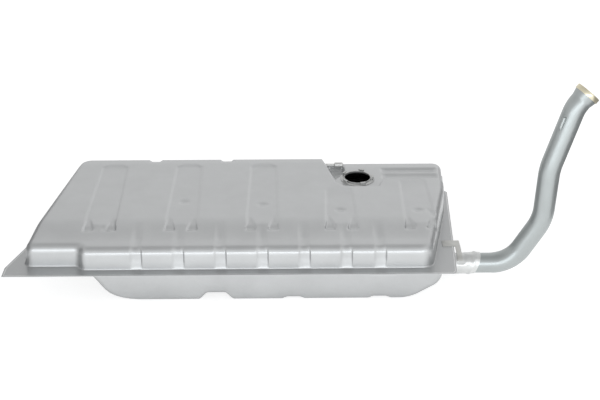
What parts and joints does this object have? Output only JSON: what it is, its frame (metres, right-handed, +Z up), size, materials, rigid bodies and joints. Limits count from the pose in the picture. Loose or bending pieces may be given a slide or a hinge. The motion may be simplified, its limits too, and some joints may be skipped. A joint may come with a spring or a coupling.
{
  "type": "fuel tank",
  "caption": "Pressed steel vehicle fuel tank: two flanged pans with ribs and strap channels, a sender opening, a vent pipe and a tall bent filler neck.",
  "frame": {"origin": "on the underside, below the middle rib of the upper pan and 245 mm behind the foot of its front wall", "axes": "+X along the tank towards the filler neck, +Y from the grooved front edge to the back, +Z up"},
  "size_m": [1.5011, 0.564, 0.5583],
  "materials": {
    "tank_steel": "silver paint over galvanised sheet, satin",
    "neck_steel": "silver paint, satin",
    "plated": "bright plating",
    "yellow_zinc": "yellow zinc plating"
  },
  "bodies": {
    "root": {"upper_shell": "tank_steel", "lower_shell": "tank_steel", "slosh_plate": "tank_steel", "sender_lock_ring": "tank_steel", "vent_pipe": "plated", "vent_sleeve": "plated", "filler_neck": "neck_steel", "neck_vent_nipple": "neck_steel", "neck_ferrule": "neck_steel", "mouth_collar": "yellow_zinc", "neck_bracket": "tank_steel"}
  },
  "joints": []
}
